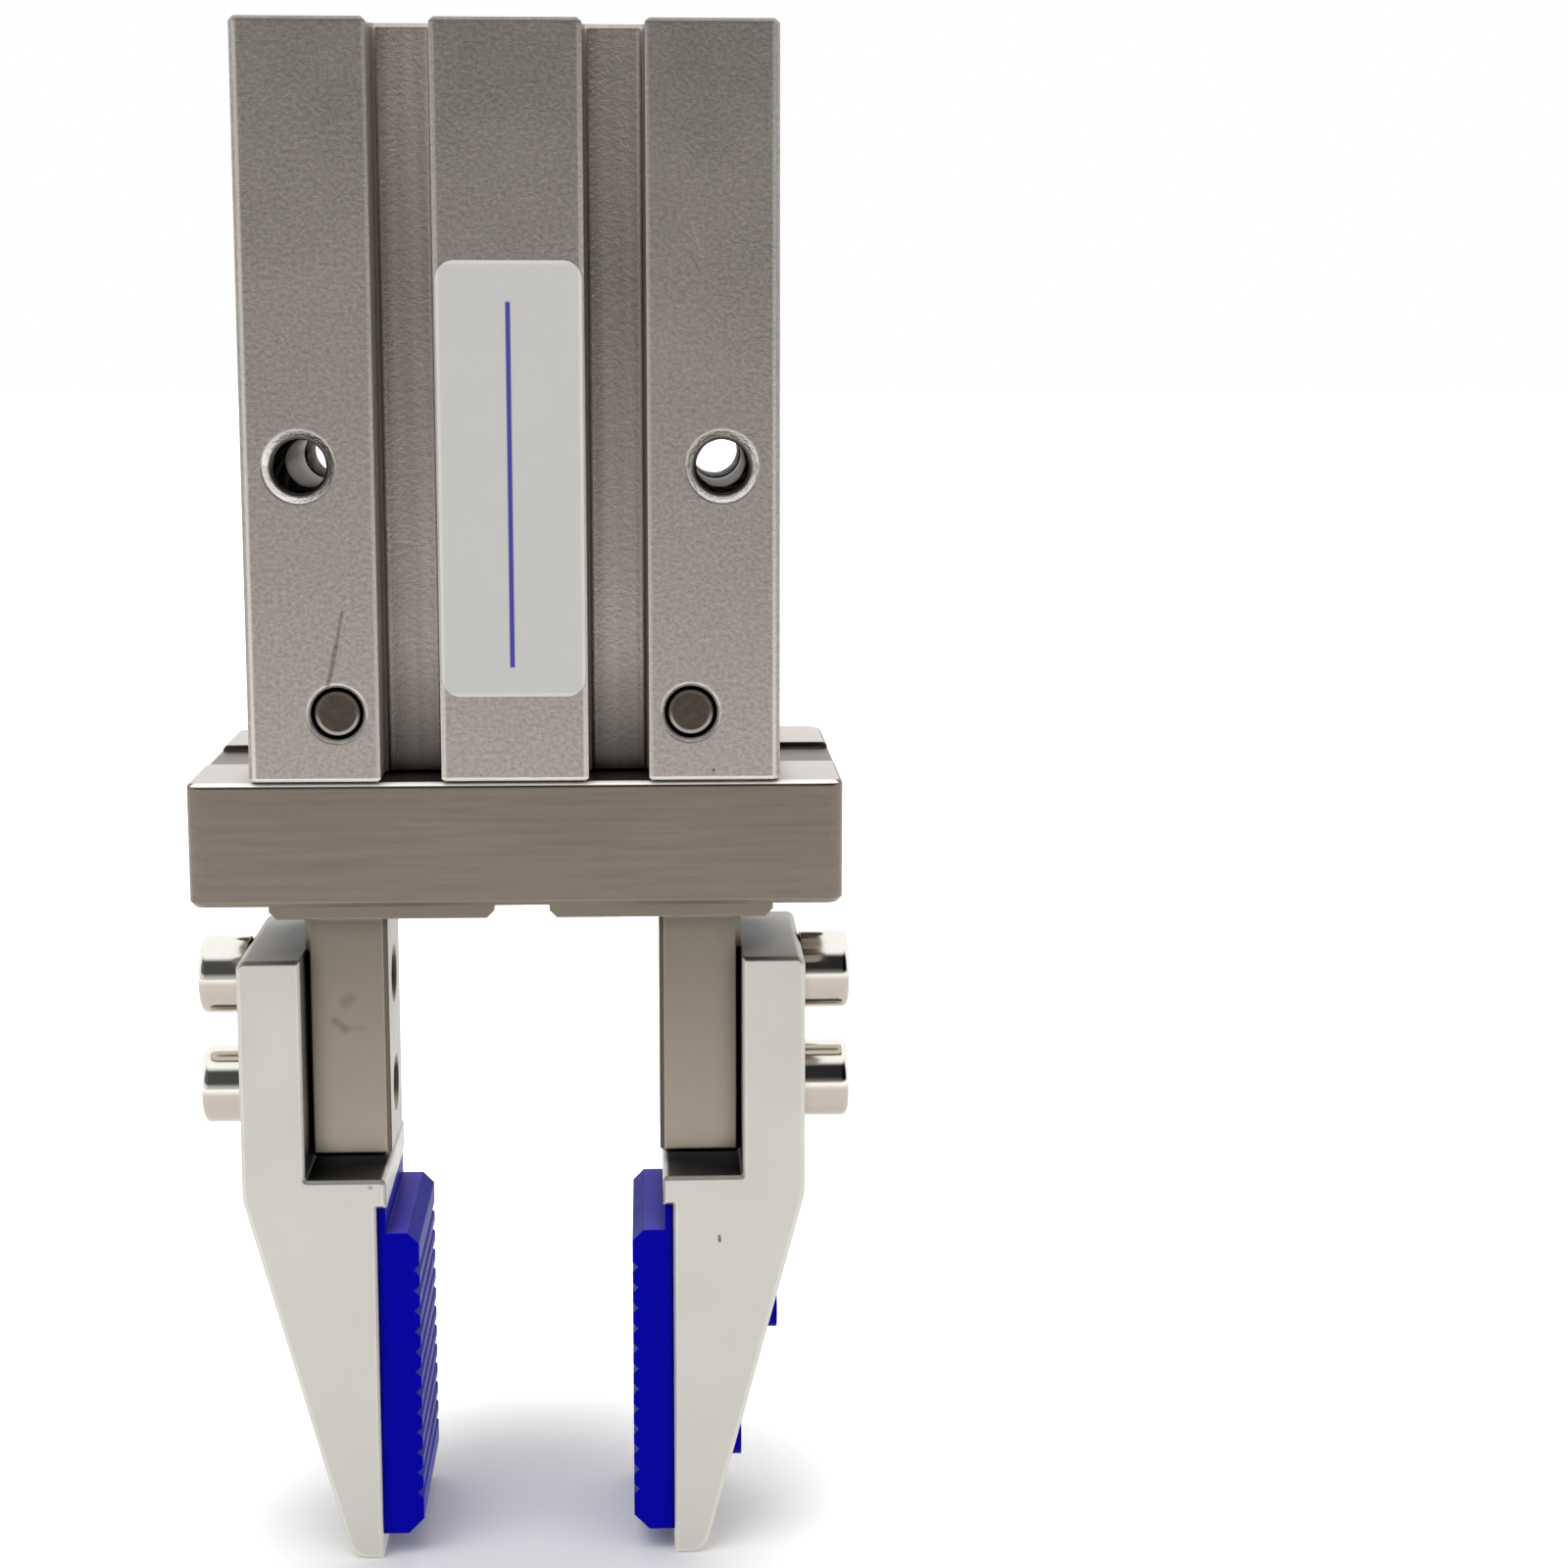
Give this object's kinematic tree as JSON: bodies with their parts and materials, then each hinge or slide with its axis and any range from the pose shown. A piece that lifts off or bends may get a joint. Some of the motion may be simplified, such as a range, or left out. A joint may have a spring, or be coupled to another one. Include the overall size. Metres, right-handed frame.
{
  "type": "parallel gripper",
  "caption": "Two-finger parallel air gripper with a grooved housing, guide rail, slanted jaw plates and serrated blue pads.",
  "frame": {"origin": "centre of the rear mounting face, in the plane of that face and midway between its two tapped holes", "axes": "+Z out of the rear face, so the fingers hang towards -Z; X along the finger travel; Y through the depth, with the labelled front at -Y"},
  "size_m": [0.0402, 0.0236, 0.0923],
  "materials": {
    "housing": "bead blasted, matte",
    "turned_aluminium": "turned",
    "rail_steel": "ground along its length",
    "finger_steel": "ground",
    "plate_aluminium": "satin",
    "bright_steel": "bright nickel",
    "dark_steel": "blackened",
    "blue_plastic": "moulded, slight sheen",
    "rubber": "matte",
    "magnet": "matte"
  },
  "bodies": {
    "base": {"body": "housing", "rear_cap": "turned_aluminium", "cap_seal": "rubber", "retaining_ring": "dark_steel", "bumper": "rubber", "rod_seal": "rubber", "seal_retainer": "turned_aluminium", "left_lever_shaft": "dark_steel", "right_lever_shaft": "dark_steel", "rail": "rail_steel", "rail_screws": "dark_steel", "steel_balls": "bright_steel", "ball_stops": "bright_steel"},
    "drive": {"piston": "turned_aluminium", "piston_seal": "rubber", "magnet": "magnet", "rod_joint": "dark_steel", "joint_pin": "bright_steel"},
    "left_crank": {"left_lever": "dark_steel"},
    "right_crank": {"right_lever": "dark_steel"},
    "left_jaw": {"left_finger": "finger_steel", "left_jaw_plate": "plate_aluminium", "left_pad": "blue_plastic", "left_plate_screws": "bright_steel"},
    "right_jaw": {"right_finger": "finger_steel", "right_jaw_plate": "plate_aluminium", "right_pad": "blue_plastic", "right_plate_screws": "bright_steel"}
  },
  "joints": [
    {"name": "piston_slide", "type": "slide", "parent": "base", "child": "drive", "axis": [0, 0, -1], "range_m": [-0.00076, 0.0021]},
    {"name": "right_finger_slide", "type": "slide", "parent": "base", "child": "right_jaw", "axis": [1, 0, 0], "range_m": [-0.0008, 0.0022]},
    {"name": "left_finger_slide", "type": "slide", "parent": "base", "child": "left_jaw", "axis": [-1, 0, 0], "range_m": [-0.0008, 0.0022]},
    {"name": "right_lever_turn", "type": "hinge", "parent": "base", "child": "right_crank", "pos_m": [0.01015, 0, -0.03895], "axis": [0, -1, 0], "range_deg": [-5.74, 15.77]},
    {"name": "left_lever_turn", "type": "hinge", "parent": "base", "child": "left_crank", "pos_m": [-0.01015, 0, -0.03895], "axis": [0, 1, 0], "range_deg": [-5.74, 15.77]}
  ],
  "couplings": [
    {"joint": "right_finger_slide", "follows": "piston_slide", "ratio": 1.0458},
    {"joint": "left_finger_slide", "follows": "piston_slide", "ratio": 1.0458},
    {"joint": "right_lever_turn", "follows": "piston_slide", "rad_per_m": 130.72},
    {"joint": "left_lever_turn", "follows": "piston_slide", "rad_per_m": 130.72}
  ]
}
